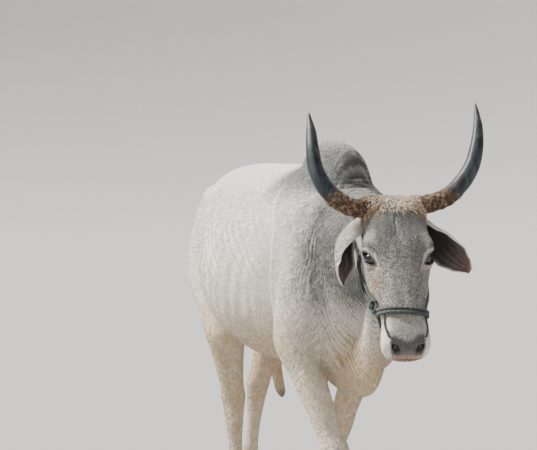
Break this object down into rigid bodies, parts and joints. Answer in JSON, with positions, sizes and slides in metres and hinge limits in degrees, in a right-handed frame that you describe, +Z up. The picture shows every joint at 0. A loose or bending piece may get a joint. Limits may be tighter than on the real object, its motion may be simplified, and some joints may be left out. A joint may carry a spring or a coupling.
{
  "type": "zebu bull, life-size still model",
  "caption": "Life-size walking zebu bull with shoulder hump, tall lyre horns, hanging ears, dewlap and a rope halter.",
  "frame": {"origin": "on the floor, under the middle of the bounding box, below the belly", "axes": "+Z up; the bull faces -Y; its left side is towards +X"},
  "size_m": [0.6946, 1.9938, 1.496],
  "materials": {
    "coat_white": "short matt hair over hide, warm white",
    "coat_grey": "short matt hair over hide, ash grey",
    "horn_black": "dark horn, smooth with a soft shine, rough at the base",
    "hoof_black": "dark hoof horn, matt",
    "eye_black": "wet black eye",
    "switch_black": "long coarse black hair",
    "rope_green": "worn dark green rope"
  },
  "bodies": {
    "root": {"dewclaw_fore_left_inner": "hoof_black", "dewclaw_fore_left_outer": "hoof_black", "dewclaw_fore_right_inner": "hoof_black", "dewclaw_fore_right_outer": "hoof_black", "dewclaw_hind_left_inner": "hoof_black", "dewclaw_hind_left_outer": "hoof_black", "dewclaw_hind_right_inner": "hoof_black", "dewclaw_hind_right_outer": "hoof_black", "dewlap": "coat_white", "ear_left": "coat_grey", "ear_right": "coat_grey", "eye_left": "eye_black", "eye_right": "eye_black", "foreleg_left": "coat_white", "foreleg_right": "coat_white", "halter_cheek_cord": "rope_green", "halter_chin_rope": "rope_green", "halter_headpiece": "rope_green", "halter_noseband": "rope_green", "head": "coat_white", "hindleg_left": "coat_white", "hindleg_right": "coat_white", "hoof_fore_left_inner": "hoof_black", "hoof_fore_left_outer": "hoof_black", "hoof_fore_right_inner": "hoof_black", "hoof_fore_right_outer": "hoof_black", "hoof_hind_left_inner": "hoof_black", "hoof_hind_left_outer": "hoof_black", "hoof_hind_right_inner": "hoof_black", "hoof_hind_right_outer": "hoof_black", "horn_left": "horn_black", "horn_right": "horn_black", "hump": "coat_grey", "neck": "coat_grey", "nose_cord_left": "rope_green", "nose_cord_right": "rope_green", "scrotum": "coat_grey", "sheath": "coat_grey", "tail": "coat_white", "tail_switch": "switch_black", "torso": "coat_white"}
  },
  "joints": []
}
